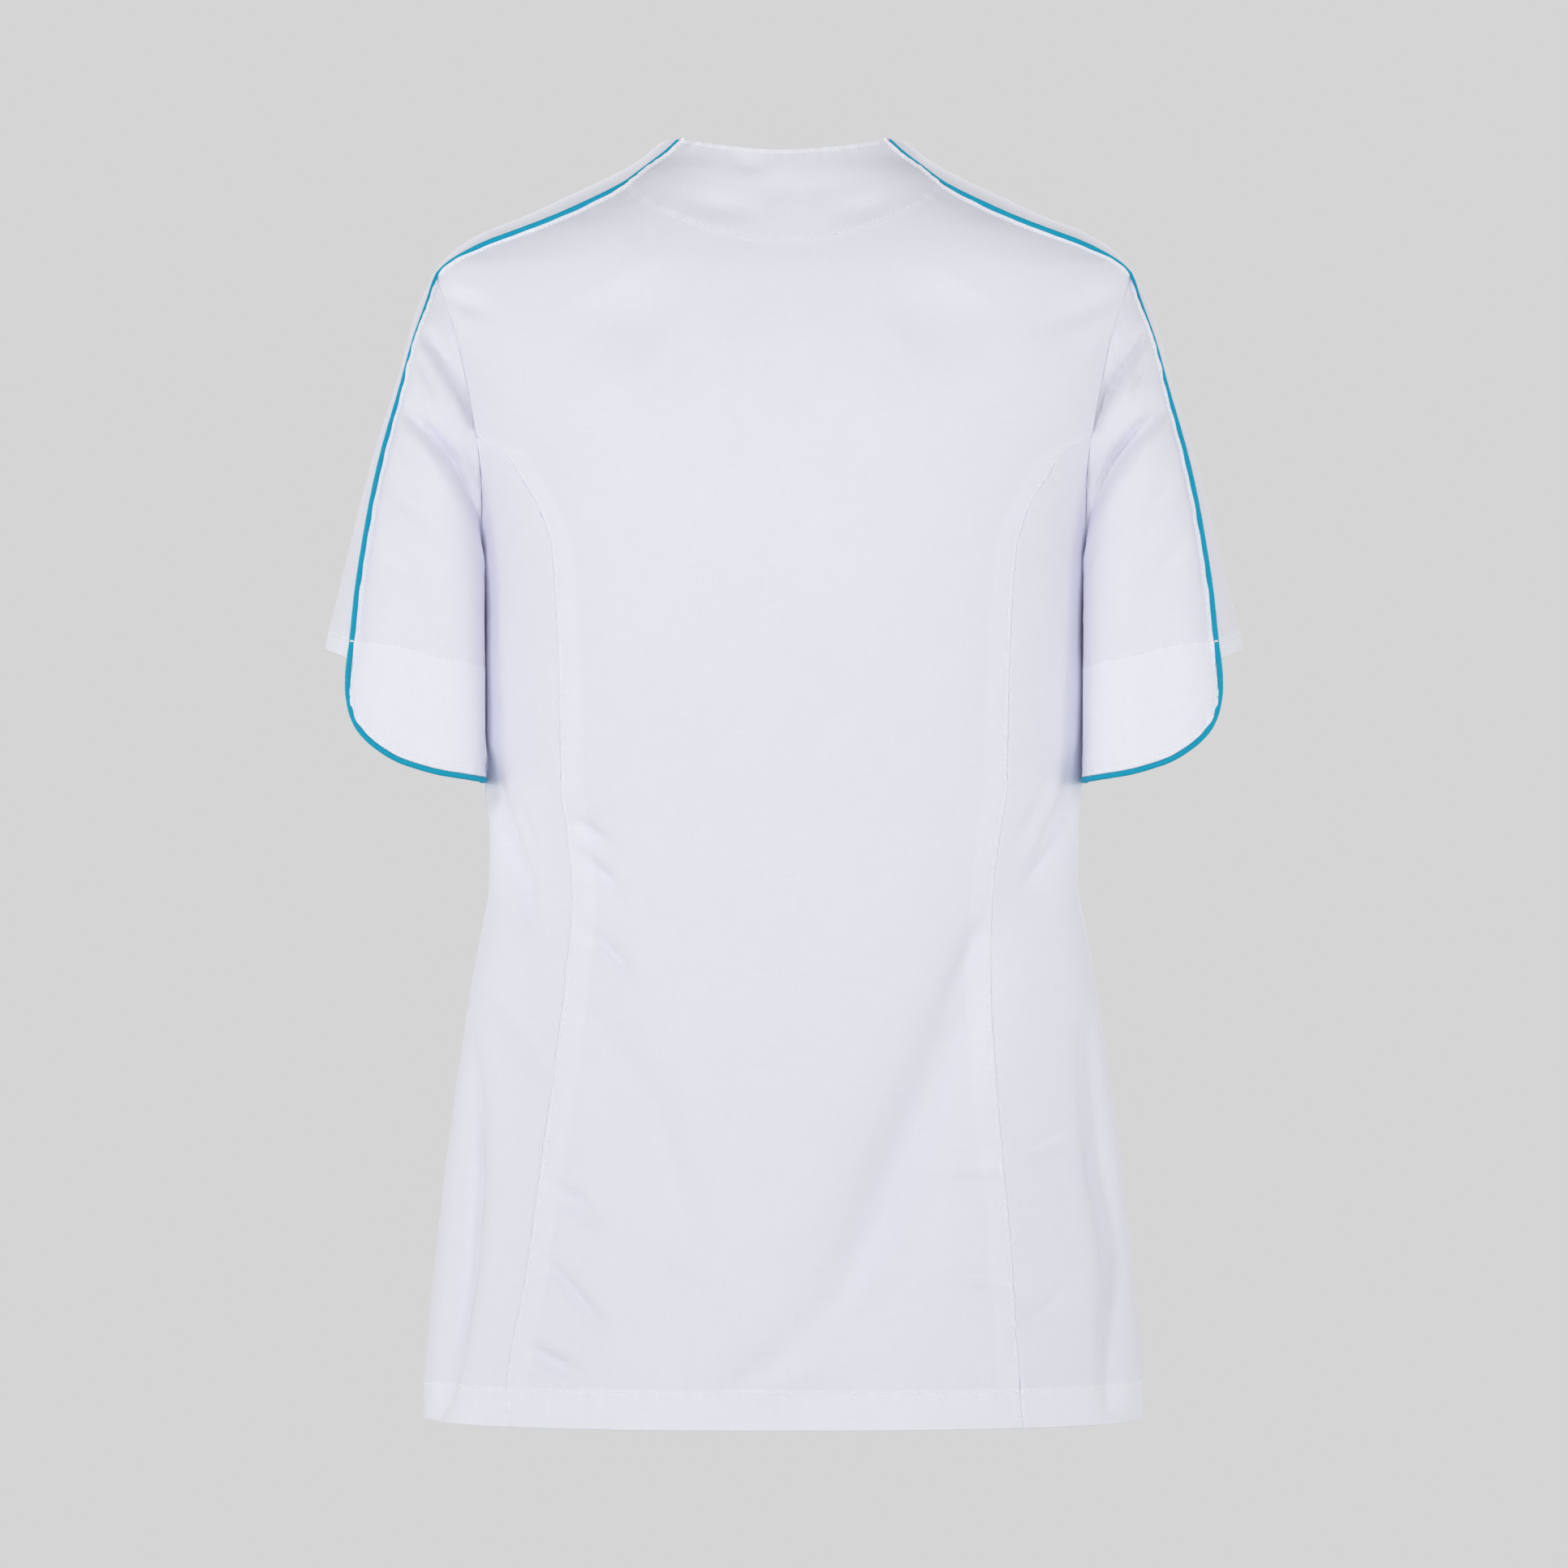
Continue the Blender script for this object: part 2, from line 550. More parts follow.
def sleeve_point(ring_angle, reach, side):
    """Outer face of a sleeve at angles round it and reaches down it."""
    places = armhole_place(ring_angle, side)
    off = SLEEVE_CLEARANCE * ease(np.abs(ring_angle), 90.0, 130.0)
    rings = [body_point(places[..., 0], places[..., 1])
             + body_normal(places[..., 0], places[..., 1]) * off[..., None]]
    turn = np.radians(ring_angle)
    up, back = np.cos(turn), np.sin(turn)
    squarer = SLEEVE_BASE_SQUARENESS * ease(-up, -0.2, 0.3) * ease(back, 0.0, 0.2)
    squarer = squarer * ease(reach, 0.0, 14.0)
    for ring in SLEEVE_RINGS:
        boxy = ring.boxy + squarer
        swell = (np.abs(up) ** boxy + np.abs(back) ** boxy) ** (-1 / boxy)
        depth = np.where(back > 0, ring.back_depth, ring.front_depth)
        share = (1 + up * swell) / 2
        rings.append(np.stack([side * (ring.inner_x + (ring.outer_x - ring.inner_x) * share),
                               -depth * back * swell,
                               ring.inner_z + (ring.outer_z - ring.inner_z) * share], axis=-1))
    knots = np.array([0.0] + [ring.reach for ring in SLEEVE_RINGS])
    rings = np.array(rings)
    slopes = np.gradient(rings, knots, axis=0)
    each = np.indices(ring_angle.shape)
    points = hermite(knots, lambda i: rings[(i, *each)], lambda i: slopes[(i, *each)], reach)
    x, z = points[..., 0] * side, points[..., 2]
    from_seam = np.abs(ring_angle - seam_angle(reach))
    behind = ease(back, 0.1, 0.5)
    push = (SLEEVE_FORM_STRENGTH * fold_depth(SLEEVE_FORM_FOLDS, x, z) * behind
            * (0.35 + 0.65 * ease(from_seam, 2.0, 24.0)))
    push = push + (SLEEVE_CREASE_STRENGTH * fold_depth(SLEEVE_CREASES, x, z) * behind
                   * ease(from_seam, 1.0, 13.0))
    push = push - (fold_depth(SLEEVE_FORM_FOLDS[1:], x - 4, z + 6) * SLEEVE_FRONT_STRENGTH
                   * ease(-back, 0.3, 0.8))
    push = push + (ripple(x * 1.4, z, *SLEEVE_RIPPLE) * ease(reach, 10.0, 60.0)
                   * np.sign(back))
    points[..., 1] += push
    hug = np.exp(-((ring_angle - HUG_ANGLE) / HUG_SPREAD) ** 2) * ease(reach, 0.0, 14.0)
    points[..., 0] -= side * UNDERARM_HUG * hug
    return points


# ================================================================ grids of cloth
class Cloth:
    """A grid of cloth: its face, normals, thickness, and what lies at each point."""

    def __init__(self, points, across, along, normal):
        self.points, self.normal = points, normal  # rows x columns x 3, in mm
        self.across, self.along = across, along    # place in the flat cloth, in mm
        self.rise = np.zeros(across.shape)         # of both faces
        self.round = np.zeros(across.shape)        # both faces towards each other
        self.thickness = np.full(across.shape, CLOTH)
        self.double = np.zeros(across.shape)       # more layers of cloth
        self.cut = None                            # cells left out
        self.same = {}                             # points that are one


def spread_columns(surface, t, columns):
    """Shares across for each row of t, at even distances with finer columns at the edges.
    Returns the shares and each point's distance across from the row's first edge."""
    start = np.linspace(0.0, 1.0, 121)
    rows = surface(t[:, None], start[None, :])
    steps = np.linalg.norm(np.diff(rows, axis=1), axis=-1)
    run = np.concatenate([np.zeros((len(t), 1)), np.cumsum(steps, axis=1)], axis=1)
    offsets = np.array(EDGE_OFFSETS)
    share, distance = [], []
    for length, at in zip(run[:, -1], run):
        near = offsets * min(1.0, 0.4 * length / offsets[-1])
        middle = np.linspace(near[-1], length - near[-1], columns - 2 * len(near) + 2)[1:-1]
        wanted = np.concatenate([near, middle, (length - near)[::-1]])
        share.append(np.interp(wanted, at, start))
        distance.append(wanted)
    return np.array(share), np.array(distance)


BETWEEN = 1.8           # a row of the plan that is shared out between its neighbours


def lay(surface, plan, columns, middle=None):
    """A grid on surface(t, share), by the plan's rows of (t, mm beyond it), which faces away
    from a middle point or the middle line. Returns Cloth, t and distances from both edges."""
    nominal = np.array([row for row, _ in plan])
    offset = np.array([d if row != BETWEEN else 0.0 for row, d in plan])
    share, distance = spread_columns(surface, nominal, columns)
    t = np.repeat(nominal[:, None], columns, axis=1)
    moved = offset != 0
    if moved.any():
        here, there = t[moved], t[moved] + np.sign(offset[moved])[:, None] * 0.1
        pace = np.linalg.norm(surface(there, share[moved]) - surface(here, share[moved]),
                              axis=-1) / 0.1
        t[moved] += offset[moved][:, None] / pace
    shared = [i for i, (row, _) in enumerate(plan) if row == BETWEEN]
    for i in shared:
        t[i] = t[shared[0] - 1] + (t[shared[-1] + 1] - t[shared[0] - 1]) * plan[i][1]
    points = surface(t, share)
    along = run_of(points[:, columns // 2])
    normal = unit(np.cross(np.gradient(points, axis=1), np.gradient(points, axis=0)))
    outwards = points * (1, 1, 0) if middle is None else points - middle
    normal = normal * np.sign((normal * outwards).sum(axis=-1).mean())
    cloth = Cloth(points, distance - distance[:, -1:] / 2,
                  np.repeat(-along[:, None], columns, axis=1), normal)
    return cloth, t, distance, distance[:, -1:] - distance


def row_near(plan, t, offset=0.0):
    """The index of the row of the plan that is closest to t, or beyond it by an offset."""
    return int(np.argmin([abs(p[0] - t) * 50 + abs(p[1] - offset) for p in plan]))


def from_row(cloth, row, counts):
    """The distance from a row of the grid, where it counts."""
    return np.where(counts, np.linalg.norm(cloth.points - cloth.points[row], axis=-1), FAR)


def groove(distance, depth=0.4, half_width=0.9):
    """The dip where cloth turns into a seam."""
    return -depth * (1 - ease(distance, 0.0, half_width))


def ridge(distance, height=RIDGE_HEIGHT):
    """The cloth's turned edge standing up against the piping."""
    return height * np.exp(-((distance - 1.5) / 0.65) ** 2) + 0.2 * (1 - ease(distance, 0.8, 1.8))


def dimple(distance, at, depth=0.22):
    """The line that topstitching pulls in, and the swell beside it."""
    line = -depth * np.exp(-((distance - at) / 0.55) ** 2)
    return line + 0.12 * np.exp(-((distance - at + 1.3) / 0.7) ** 2)


def pucker(along, distance, height=0.16, reach=9.0, pitch=8.5):
    """Small uneven waves that a sewn line draws into the cloth beside it."""
    wave = (np.sin(2 * np.pi * along / pitch + 1.5 * np.sin(along / 23.0))
            + 0.6 * np.sin(2 * np.pi * along / (pitch * 1.7) + 0.9))
    uneven = 1.4 + 0.9 * np.sin(along / 19.0 + 1.0) * np.sin(along / 31.0)
    return height * uneven * wave * np.exp(-(distance / reach) ** 2)


def turned_edge(cloth, distance):
    """Rounds a free edge."""
    radius = cloth.thickness * 0.46
    inside = np.clip(distance / radius, 0.0, 1.0)
    cloth.round = np.maximum(cloth.round, radius * (1 - np.sqrt(1 - (1 - inside) ** 2)))


def bright_edge(distance):
    """More than two layers, where the cloth stands up against the piping."""
    return 1.5 * (1 - ease(distance, 1.7, 2.3))


def band(distance, width):
    return 1 - ease(distance, width - 0.8, width + 0.8)


# ================================================================ meshes
def mesh_piece(name, points, faces, material):
    mesh = bpy.data.meshes.new(name)
    mesh.from_pydata((points * MM).tolist(), [], faces)
    mesh.shade_smooth()
    mesh.materials.append(material)
    piece = bpy.data.objects.new(name, mesh)
    bpy.context.scene.collection.objects.link(piece)
    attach(piece, "root")
    return piece


def map_cloth(piece, corners, double):
    """The flat place of each corner, as a map, and the layers at each point."""
    layer = piece.data.uv_layers.new(name="cloth")
    layer.uv.foreach_set("vector", (corners * MM).astype(np.float32).ravel())
    layers = piece.data.attributes.new("double", "FLOAT", "POINT")
    layers.data.foreach_set("value", double.astype(np.float32))


def shell(name, cloth, material, start=0.0):
    """A closed thin shell of cloth, from start below its face."""
    rows, columns = cloth.across.shape
    count = rows * columns
    normal = cloth.normal.reshape(-1, 3)
    points = (cloth.points + cloth.normal * (cloth.rise - start)[..., None]).reshape(-1, 3)
    thickness, curl = cloth.thickness.ravel()[:, None], cloth.round.ravel()[:, None]
    outer = points - normal * curl
    inner = points - normal * (thickness - curl)
    index = np.arange(count).reshape(rows, columns)
    quads = np.stack([index[:-1, :-1], index[:-1, 1:], index[1:, 1:], index[1:, :-1]], axis=-1)
    quads = quads[np.ones(quads.shape[:2], dtype=bool) if cloth.cut is None else ~cloth.cut]
    as_one = np.arange(count)
    for one, other in cloth.same.items():
        as_one[one] = other
    quads = as_one[quads]
    a, b, c = (outer[quads[:, i]] for i in range(3))
    if (np.cross(b - a, c - a) * normal[quads[:, 0]]).sum() < 0:
        quads = quads[:, ::-1]
    edges = np.concatenate([quads[:, [i, (i + 1) % 4]] for i in range(4)])
    key = edges[:, 0] * count + edges[:, 1]
    back = edges[:, 1] * count + edges[:, 0]
    rim = edges[~np.isin(key, back)]
    walls = np.stack([rim[:, 1], rim[:, 0], rim[:, 0] + count, rim[:, 1] + count], axis=1)
    faces = np.concatenate([quads, quads[:, ::-1] + count, walls])
    used, faces = np.unique(faces, return_inverse=True)
    faces = faces.reshape(-1, 4)
    piece = mesh_piece(name, np.concatenate([outer, inner])[used], faces.tolist(), material)
    flat = np.stack([cloth.across.ravel(), cloth.along.ravel()], axis=1)
    map_cloth(piece, np.concatenate([flat, flat])[used][faces.ravel()],
              np.concatenate([cloth.double.ravel()] * 2)[used])
    return piece


def facing_piece(name, cloth, rows, layers, material):
    """A facing inside some rows of the cloth."""
    facing = Cloth(cloth.points[rows], cloth.across[rows], cloth.along[rows], cloth.normal[rows])
    facing.rise = cloth.rise[rows]
    facing.thickness = np.full(facing.across.shape, FACING)
    facing.double = np.full(facing.across.shape, layers)
    return shell(name, facing, material, FACING_START)


def round_faces(first, last, sides):
    """The faces between rings of points, from the first ring's index to the last one's."""
    faces = []
    for ring in range(first, last, sides):
        for i in range(sides):
            a, b = ring + i, ring + (i + 1) % sides
            faces.append((a, b, b + sides, a + sides))
    return faces


STITCH_PITCH = 2.9
STITCH_LENGTH = 2.3
THREAD_RADIUS = 0.3
STITCH_LIFT = 0.16
THREAD_SIDES = 6
THREAD_RINGS = table("place width rise", (-0.5, 0.25, -0.22), (-0.3, 0.9, 0.04), (0.3, 0.9, 0.04),
                     (0.5, 0.25, -0.22))


def stitches(name, lines, material):
    """Each stitch is a short round bar of thread that dips into the cloth at both ends."""
    points, faces = [], []
    for line, normals in lines:
        run = run_of(line)
        count = int(run[-1] / STITCH_PITCH)
        at = (np.arange(count) + 0.5) * run[-1] / max(count, 1)
        ahead = unit(between(at + 0.5, run, line) - between(at - 0.5, run, line))
        ups = unit(between(at, run, normals))
        for spot, ahead, up in zip(between(at, run, line), ahead, ups):
            side = np.cross(ahead, up)
            first = len(points)
            for ring in THREAD_RINGS:
                centre = (spot + ahead * STITCH_LENGTH * ring.place
                          + up * (STITCH_LIFT + ring.rise))
                for turn in 2 * np.pi * np.arange(THREAD_SIDES) / THREAD_SIDES:
                    points.append(centre + THREAD_RADIUS * ring.width
                                  * (math.cos(turn) * side + math.sin(turn) * up))
            last = first + (len(THREAD_RINGS) - 1) * THREAD_SIDES
            faces += round_faces(first, last, THREAD_SIDES)
            faces.append(tuple(range(first + THREAD_SIDES - 1, first - 1, -1)))
            faces.append(tuple(range(last, last + THREAD_SIDES)))
    piece = mesh_piece(name, np.array(points), faces, material)


def line_on(cloth, where):
    """The face of the cloth along part of a row or column, with its normals."""
    return (cloth.points + cloth.normal * cloth.rise[..., None])[where], cloth.normal[where]


# ================================================================ materials
def feed(tree, socket, value):
    """Links another node's output to a socket, or sets its constant."""
    if isinstance(value, bpy.types.NodeSocket):
        tree.links.new(value, socket)
    else:
        socket.default_value = value


def node(tree, kind, inputs=None, **settings):
    made = tree.nodes.new(kind)
    for name, value in settings.items():
        setattr(made, name, value)
    for name, value in (inputs or {}).items():
        feed(tree, made.inputs[name], value)
    return made


def maths(tree, operation, first, second):
    return node(tree, "ShaderNodeMath", {0: first, 1: second}, operation=operation).outputs[0]


def mix(tree, factor, first, second, blend="MIX"):
    made = node(tree, "ShaderNodeMix", data_type="RGBA", blend_type=blend)
    socket = {s.identifier: s for s in made.inputs}
    for name, value in (("Factor_Float", factor), ("A_Color", first), ("B_Color", second)):
        feed(tree, socket[name], value)
    return {s.identifier: s for s in made.outputs}["Result_Color"]


def grey(tree, level):
    same = {"Red": level, "Green": level, "Blue": level}
    return node(tree, "ShaderNodeCombineColor", same).outputs["Color"]


def threads(tree, place, across, along, detail):
    """Uneven threads: noise drawn out along one way of the cloth."""
    scaled = node(tree, "ShaderNodeMapping", {"Scale": (across, along, 1.0), "Vector": place})
    return node(tree, "ShaderNodeTexNoise", {"Scale": 1.0, "Detail": detail,
                                             "Vector": scaled.outputs["Vector"]}).outputs["Fac"]


def new_material(name):
    material = bpy.data.materials.new(name)
    material.use_nodes = True
    return material, material.node_tree, material.node_tree.nodes["Principled BSDF"]


def woven(name, colours, roughness, sheen, thread_mm, bump):
    """Plain-woven cloth: fine crossing threads, slightly uneven, on the map of flat places.
    The second and third of its colours are those where more layers lie under it."""
    material, tree, shader = new_material(name)
    shader.inputs["Sheen Weight"].default_value = sheen
    shader.inputs["Sheen Roughness"].default_value = 0.5
    shader.inputs["Specular IOR Level"].default_value = 0.25
    shader.inputs["Metallic"].default_value = 0.0
    place = node(tree, "ShaderNodeUVMap", uv_map="cloth").outputs["UV"]
    split = node(tree, "ShaderNodeSeparateXYZ", {0: place})
    wave = 2 * math.pi / (thread_mm * MM)
    over, under = (maths(tree, "SINE", maths(tree, "MULTIPLY", split.outputs[way], wave), 0.0)
                   for way in "XY")
    weave = maths(tree, "MULTIPLY", maths(tree, "MULTIPLY", over, under), 0.25)
    warp = threads(tree, place, 900.0, 60.0, 2.0)
    weft = threads(tree, place, 50.0, 800.0, 2.0)
    uneven = maths(tree, "ADD", warp, weft)
    cloudy = threads(tree, place, 26.0, 17.0, 3.0)
    raised = node(tree, "ShaderNodeBump", {"Strength": bump, "Distance": 0.00012,
                                           "Height": maths(tree, "ADD", weave, uneven)})
    feed(tree, shader.inputs["Normal"], raised.outputs["Normal"])
    layers = node(tree, "ShaderNodeAttribute", attribute_name="double").outputs["Fac"]
    plain, layered, edge = ((*colour, 1.0) for colour in colours)
    base = mix(tree, maths(tree, "SUBTRACT", layers, 1.0), mix(tree, layers, plain, layered), edge)
    shade = maths(tree, "ADD", maths(tree, "MULTIPLY", uneven, 0.035), 0.955)
    shade = maths(tree, "ADD", maths(tree, "MULTIPLY", cloudy, 0.02), shade)
    feed(tree, shader.inputs["Base Color"], mix(tree, 1.0, base, grey(tree, shade), "MULTIPLY"))
    rough = maths(tree, "ADD", maths(tree, "MULTIPLY", uneven, 0.08), roughness - 0.08)
    feed(tree, shader.inputs["Roughness"], rough)
    return material


def mottled(name, roughness, sheen, scale, dark, light):
    """A plain material, very slightly uneven."""
    material, tree, shader = new_material(name)
    shader.inputs["Roughness"].default_value = roughness
    shader.inputs["Sheen Weight"].default_value = sheen
    place = node(tree, "ShaderNodeTexCoord").outputs["Object"]
    noise = node(tree, "ShaderNodeTexNoise", {"Scale": scale, "Vector": place})
    ramp = node(tree, "ShaderNodeValToRGB", {"Fac": noise.outputs["Fac"]})
    for stop, colour in zip(ramp.color_ramp.elements, (dark, light)):
        stop.color = (*colour, 1.0)
    feed(tree, shader.inputs["Base Color"], ramp.outputs["Color"])
    return material


WHITES = [(0.865, 0.865, 0.94), (0.895, 0.905, 0.97), (0.95, 0.95, 0.965)]
TURQUOISES = [(0.002, 0.34, 0.54), (0.01, 0.46, 0.68), (0.01, 0.46, 0.68)]
THREAD_DARK, THREAD_LIGHT = (0.94, 0.95, 0.975), (0.98, 0.985, 0.995)
FLOOR_DARK, FLOOR_LIGHT = (0.64, 0.64, 0.64), (0.68, 0.68, 0.68)

# ================================================================ the panels
BACK_COLUMNS = 132
SIDE_COLUMNS = 46
FRONT_HALF_COLUMNS = 66
SUB = 8                  # rows of the grid for each row of the solids
AT_EDGE = [0.2, 0.45, 0.9, 1.6, 2.6]
AT_STITCHES = [-2.2, -1.4, -0.7, 0.0, 0.7, 1.4, 2.2]
AT_NECK = [0.2, 0.45, 0.9, 1.5, STITCH_FROM_EDGE, 3.2, 4.2]
AT_NECK_FACING = [-4.0, -2.6, -1.6, -0.8, 0.8, 1.6, 2.8]
NECK_FACING_STITCHES = 1.6
BAND_LAYERS, NECK_LAYERS, FRONT_NECK_LAYERS = 0.6, 0.25, 0.45    # that show through


def clear_of(rows, marks, gap):
    return [t for t in rows if all(abs(t - mark) > gap for mark in marks)]


def plan_body(first, last_row, more=()):
    """Rows of a body panel, finer at the hem's stitching, its edge and what more says."""
    marks = [last_row - d / ROW_DROP for d in AT_EDGE + [HEM_DEPTH + d for d in AT_STITCHES]]
    even = np.linspace(first, last_row, round((last_row - first) * SUB) + 1)
    plan = [(t, 0.0) for t in clear_of(even[:-1], marks, 0.35 / SUB) + [even[-1]] + marks]
    for row, offsets, (low, high) in more:
        plan = [p for p in plan if not row + low < p[0] < row + high or p[0] == row]
        plan += [(row + 1e-6, offset) for offset in offsets]
    return sorted(plan, key=lambda p: p[0] + p[1] * 1e-4)


def turn_up(cloth, from_hem, depth):
    """A hem turned up, so thicker, with its rounded edge."""
    turned_up = band(from_hem, depth + 1.5)
    cloth.thickness = CLOTH * (1 + turned_up)
    cloth.double = np.maximum(cloth.double, turned_up)
    turned_edge(cloth, from_hem)


def hem_body(cloth, t, plan):
    """Turns up the hem, and returns the line of its stitching."""
    last_row = plan[-1][0]
    from_hem = (last_row - t) * ROW_DROP
    turn_up(cloth, from_hem, HEM_DEPTH)
    cloth.rise = (cloth.rise + dimple(from_hem, HEM_DEPTH)
                  + pucker(cloth.across, np.abs(from_hem - HEM_DEPTH), 0.2, 11.0, 9.5)
                  + ripple(cloth.across, from_hem * 0.3, 0.5, 46.0) * np.exp(-from_hem / 12.0))
    return row_near(plan, last_row - HEM_DEPTH / ROW_DROP)


def seams_beside(t, armhole_end):
    """How far each point lies below the armhole, and beside the shoulder's piping."""
    return (ease(t, armhole_end - 0.15, armhole_end + 0.15),
            1 - ease(t, SHOULDER_ROWS - 0.3, SHOULDER_ROWS))


def last_row_of(edge):
    return (len(edge) - 1) // STEPS


def make_back(material, thread):
    left, right = back_edge(-1), back_edge(1)
    middle = np.array(BACK_MIDDLE_ROWS)
    whole = np.arange(len(middle))
    ends = (place_on(left, whole)[:, 1] + place_on(right, whole)[:, 1]) / 2
    sag = smooth(np.arange(len(middle) + 1), np.append(middle - ends, 0.0))

    def surface(t, share):
        places = place_between(left, right, t, share)
        down = np.where(t < len(middle), sag(t), 0.0)
        return body_point(places[..., 0], places[..., 1] + down * (1 - (2 * share - 1) ** 2))

    plan = plan_body(0.0, last_row_of(left), [(0.0, AT_NECK, (-0.01, 0.34)),
                                              (NECK_FACING_ROW, AT_NECK_FACING, (-0.3, 0.3))])
    cloth, t, from_left, from_right = lay(surface, plan, BACK_COLUMNS)
    edge = np.minimum(from_left, from_right)
    below_armhole, beside_piping = seams_beside(t, BACK_ARMHOLE_END)
    from_corner = np.abs(t - BACK_ARMHOLE_END)
    cloth.rise = (groove(edge) * (1 - beside_piping) * (0.5 + 0.5 * below_armhole)
                  * (0.25 + 0.75 * ease(from_corner, 0.0, 0.3)))
    cloth.rise += ridge(edge) * beside_piping
    cloth.rise += dimple(edge, STITCH_FROM_SEAM) * below_armhole
    cloth.rise += pucker(cloth.along, edge) * np.maximum(below_armhole, 0.6 * beside_piping)
    facing_row = row_near(plan, NECK_FACING_ROW)
    from_neck = from_row(cloth, 0, t < 1)
    from_facing = from_row(cloth, facing_row, np.abs(t - NECK_FACING_ROW) < 1)
    above = np.where(t < NECK_FACING_ROW, from_facing, -from_facing)
    cloth.rise += dimple(above, NECK_FACING_STITCHES, 0.2) + dimple(from_neck, STITCH_FROM_EDGE)
    cloth.rise += (0.2 * ease(above, -0.4, 0.6) * band(from_facing, 90.0)
                   * (t < NECK_FACING_ROW + 1))
    cloth.rise += pucker(cloth.across, from_facing, 0.1, 8.0, 9.0)
    cloth.rise += pucker(cloth.across, from_neck, 0.12, 6.0, 8.0)
    cloth.double = np.maximum(BAND_LAYERS * band(edge, SEAM_BAND) * below_armhole,
                              NECK_LAYERS * (t < NECK_FACING_ROW))
    cloth.double += bright_edge(edge) * beside_piping + 1.2 * (1 - ease(from_neck, 0.8, 1.4))
    turned_edge(cloth, from_neck)
    hem_row = hem_body(cloth, t, plan)
    back = shell("back_centre_cloth", cloth, material)
    facing = facing_piece("neck_facing_cloth", cloth, slice(facing_row + 1), NECK_LAYERS, material)
    seam_rows = slice(row_near(plan, BACK_ARMHOLE_END + 0.05), None)
    piping_rows = slice(2, row_near(plan, SHOULDER_ROWS - 0.3))
    sewn = []
    for stitched, rows in ((SEAM_STITCH_COLUMN, seam_rows), (PIPING_STITCH_COLUMN, piping_rows)):
        sewn += [line_on(cloth, (rows, stitched)), line_on(cloth, (rows, -1 - stitched))]
    for row, part in ((row_near(plan, 0.0, STITCH_FROM_EDGE), slice(3, -3)),
                      (row_near(plan, NECK_FACING_ROW, -NECK_FACING_STITCHES), slice(4, -4)),
                      (hem_row, slice(None))):
        sewn.append(line_on(cloth, (row, part)))
    stitches("topstitching_back", sewn, thread)
    return {"back_centre": back, "neck_facing_back": facing}


def make_side(name, material, inner, outer):
    def surface(t, share):
        places = place_between(inner, outer, t, share)
        return body_point(places[..., 0], places[..., 1])

    plan = plan_body(0.03, last_row_of(inner))
    cloth, t, from_inner, from_outer = lay(surface, plan, SIDE_COLUMNS)
    at_side = ease(t, SIDE_UNDERARM_ROW - 0.1, SIDE_UNDERARM_ROW + 0.2)
    from_tip = ease(t, 0.05, 0.4)
    cloth.rise = (groove(from_inner) + groove(from_outer) * (1 - 0.35 * at_side)) * from_tip
    cloth.rise += pucker(cloth.along, from_inner, 0.14)
    cloth.rise += pucker(cloth.along, from_outer, 0.12, 7.0, 12.0) * at_side
    hem_row = hem_body(cloth, t, plan)
    return shell(name + "_cloth", cloth, material), line_on(cloth, hem_row)


def make_front_half(side):
    """Half of the front as Cloth, its plan and the lines of its stitching."""
    inner, outer = front_middle_edge(side), front_edge(side)
    lift = smooth(np.arange(len(SHOULDER_TIP_LIFT)), SHOULDER_TIP_LIFT)

    def surface(t, share):
        a, b = place_on(inner, t), place_on(outer, t)
        rise = lift(np.clip(t, 0, len(SHOULDER_TIP_LIFT) - 1))
        slow = (1 - share) ** (1 + np.minimum(1.0, rise / 3))
        angle = b[..., 0] + (a[..., 0] - b[..., 0]) * slow
        z = a[..., 1] + (b[..., 1] - a[..., 1]) * share
        return body_point(angle, z + rise * LIFT_PEAK * (1 - share) * share ** 1.7)

    plan = plan_body(0.0, last_row_of(inner))
    cloth, t, from_inner, from_outer = lay(surface, plan, FRONT_HALF_COLUMNS)
    neck = 1 - ease(t, FRONT_ARMHOLE_END - 0.3, FRONT_ARMHOLE_END)
    below_armhole, beside_piping = seams_beside(t, FRONT_ARMHOLE_END)
    cloth.rise = (groove(from_outer) * (1 - beside_piping)
                  + ridge(from_outer, FRONT_SHOULDER_RIDGE) * beside_piping)
    cloth.rise += dimple(from_outer, STITCH_FROM_SEAM) * below_armhole
    cloth.rise += pucker(cloth.along, from_outer) * below_armhole
    cloth.rise += (dimple(from_inner, STITCH_FROM_SEAM)
                   + pucker(cloth.along, from_inner, 0.12, 6.0, 8.0)) * neck
    cloth.double = np.maximum(BAND_LAYERS * band(from_outer, SEAM_BAND) * below_armhole,
                              FRONT_NECK_LAYERS * band(from_inner, 30.0) * neck)
    turned_edge(cloth, np.where(neck > 0.5, from_inner, FAR))
    hem_row = hem_body(cloth, t, plan)
    neck_rows = slice(1, row_near(plan, FRONT_ARMHOLE_END - 0.3))
    seam_rows = slice(row_near(plan, FRONT_ARMHOLE_END + 0.05), None)
    cloth.across = side * from_inner
    return cloth, plan, [line_on(cloth, (neck_rows, SEAM_STITCH_COLUMN)),
                         line_on(cloth, (seam_rows, -1 - SEAM_STITCH_COLUMN)),
                         line_on(cloth, hem_row)]


